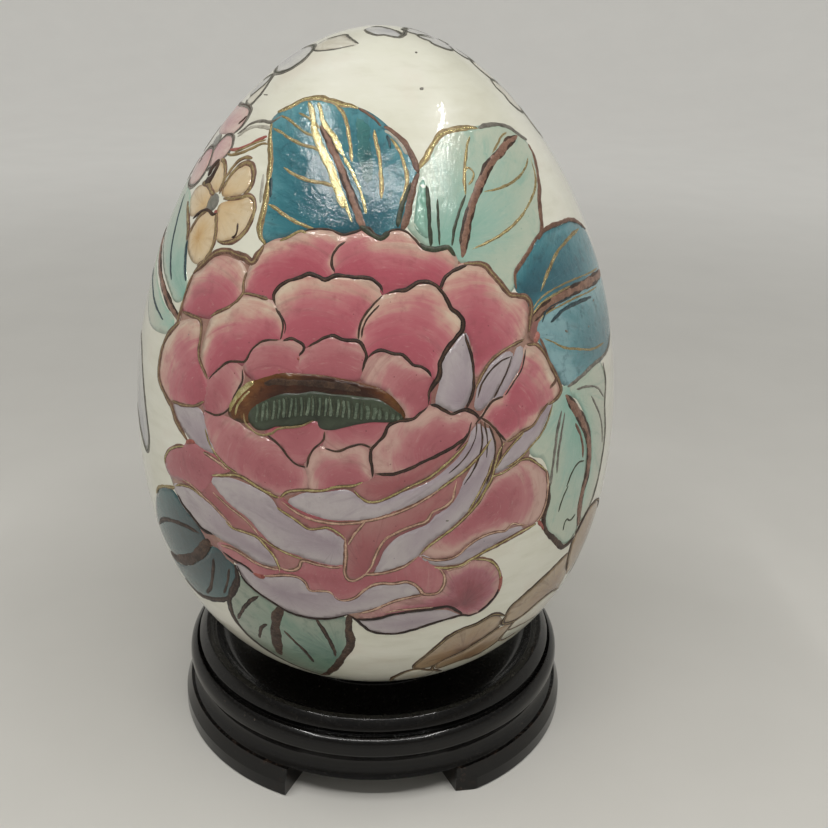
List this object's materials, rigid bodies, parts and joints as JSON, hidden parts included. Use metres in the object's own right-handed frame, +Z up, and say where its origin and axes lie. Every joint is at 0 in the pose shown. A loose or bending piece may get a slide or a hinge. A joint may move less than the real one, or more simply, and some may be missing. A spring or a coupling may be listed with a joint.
{
  "type": "painted display egg on a stand",
  "caption": "Hollow glazed porcelain display egg painted with flowers, resting loose on a turned, black-lacquered wooden stand with feet.",
  "frame": {"origin": "on the table, on the common axis of the stand and the egg", "axes": "+Z up along the axis of the stand and the egg; -Y faces the painted front; +X is to the right seen from the front"},
  "size_m": [0.1056, 0.1056, 0.1556],
  "materials": {
    "porcelain": "cream-white glaze, glossy",
    "enamel": "fired overglaze enamel, satin to glossy, slightly raised",
    "outline": "fired brown-black outline enamel, raised, satin",
    "gilding": "fired gilding, thin and slightly worn",
    "lacquer": "black lacquer, glossy, slightly worn at the edges"
  },
  "bodies": {
    "stand": {"stand_ring": "lacquer", "foot_right": "lacquer", "foot_back": "lacquer", "foot_left": "lacquer"},
    "egg": {"egg_shell": "porcelain"}
  },
  "joints": [
    {"name": "egg_lift", "type": "slide", "parent": "stand", "child": "egg", "axis": [0, 0, 1], "range_m": [0, 0.04]}
  ]
}
